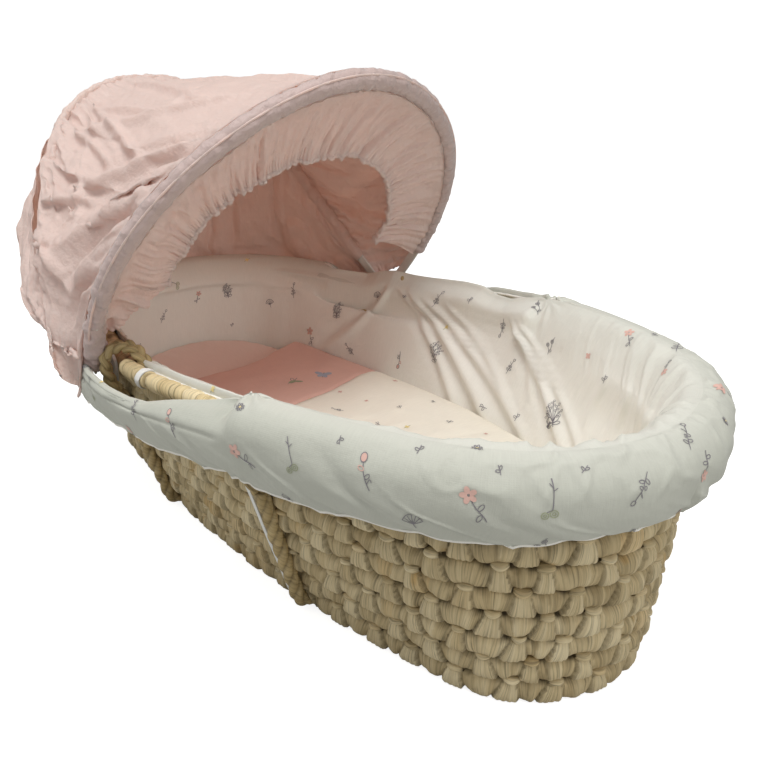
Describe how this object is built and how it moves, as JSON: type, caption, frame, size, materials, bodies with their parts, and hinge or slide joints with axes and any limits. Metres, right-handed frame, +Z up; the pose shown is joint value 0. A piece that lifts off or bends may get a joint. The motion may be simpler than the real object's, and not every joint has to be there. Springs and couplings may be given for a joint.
{
  "type": "baby carry cradle",
  "caption": "Oval coiled-husk carry cradle with padded cotton dressing, mattress and coverlet, two rope handles and a folding two-hoop fabric hood.",
  "frame": {"origin": "middle of the underside, on the plane the basket rests on", "axes": "+X towards the foot end, -Y the near long side, +Z up"},
  "size_m": [0.8469, 0.4818, 0.4864],
  "materials": {
    "woven_husk": "dried husk wrapped round a stuffed core",
    "braided_rope": "twisted husk rope",
    "grip_wrap": "pale husk bands wound over rope",
    "printed_cotton": "padded white cotton with a sparse sprig print",
    "pink_cotton": "plain weave pink cotton",
    "pale_binding": "pale pink padded cotton",
    "cream_cotton": "cream cotton with a tiny floral print",
    "mattress_ticking": "foam in a white cotton cover",
    "white_tape": "narrow white cotton tape and elastic",
    "hoop_plastic": "matte off-white flat strip",
    "clip_plastic": "moulded off-white plastic"
  },
  "bodies": {
    "basket": {"base_coil_01": "woven_husk", "base_coil_02": "woven_husk", "base_coil_03": "woven_husk", "base_coil_04": "woven_husk", "base_core": "woven_husk", "coverlet": "cream_cotton", "coverlet_band": "pink_cotton", "fitted_sheet": "pink_cotton", "hood_clip_far": "clip_plastic", "hood_clip_near": "clip_plastic", "liner_floor": "printed_cotton", "liner_skirt": "printed_cotton", "liner_wall": "printed_cotton", "mattress": "mattress_ticking", "rear_panel_elastic": "white_tape", "rim_padding": "printed_cotton", "rope_sling_foot": "braided_rope", "rope_sling_head": "braided_rope", "skirt_hem_elastic": "white_tape", "tie_tape_near": "white_tape", "wall_coil_01": "woven_husk", "wall_coil_02": "woven_husk", "wall_coil_03": "woven_husk", "wall_coil_04": "woven_husk", "wall_coil_05": "woven_husk", "wall_coil_06": "woven_husk", "wall_coil_07": "woven_husk", "wall_coil_08": "woven_husk"},
    "rear_hoop": {"rear_hoop": "hoop_plastic", "rear_hoop_sleeve": "pink_cotton", "rear_panel": "pink_cotton"},
    "front_hoop": {"front_hoop": "hoop_plastic", "hoop_binding": "pale_binding", "binding_piping": "pale_binding", "frill": "pink_cotton", "frill_elastic": "white_tape", "canopy": "pink_cotton"},
    "near_handle": {"near_handle_grip": "grip_wrap", "near_handle_rope_foot": "braided_rope", "near_handle_rope_head": "braided_rope", "near_handle_tape": "white_tape"},
    "far_handle": {"far_handle_grip": "grip_wrap", "far_handle_rope_foot": "braided_rope", "far_handle_rope_head": "braided_rope", "far_handle_tape": "white_tape"}
  },
  "joints": [
    {"name": "hood_rear_hoop_pivot", "type": "hinge", "parent": "basket", "child": "rear_hoop", "pos_m": [-0.149, 0, 0.1863], "axis": [0, 1, 0], "range_deg": [-17, 0], "deforming": ["rear_panel"]},
    {"name": "hood_front_hoop_pivot", "type": "hinge", "parent": "rear_hoop", "child": "front_hoop", "pos_m": [-0.149, 0, 0.1863], "axis": [0, 1, 0], "range_deg": [-62, 0], "deforming": ["canopy"]},
    {"name": "near_handle_lift", "type": "slide", "parent": "basket", "child": "near_handle", "axis": [0.5202, 0.2001, 0.8303], "range_m": [0, 0.1], "deforming": ["near_handle_rope_head", "near_handle_rope_foot"]},
    {"name": "far_handle_lift", "type": "slide", "parent": "basket", "child": "far_handle", "axis": [0.5202, -0.2001, 0.8303], "range_m": [0, 0.1], "deforming": ["far_handle_rope_head", "far_handle_rope_foot"]}
  ]
}
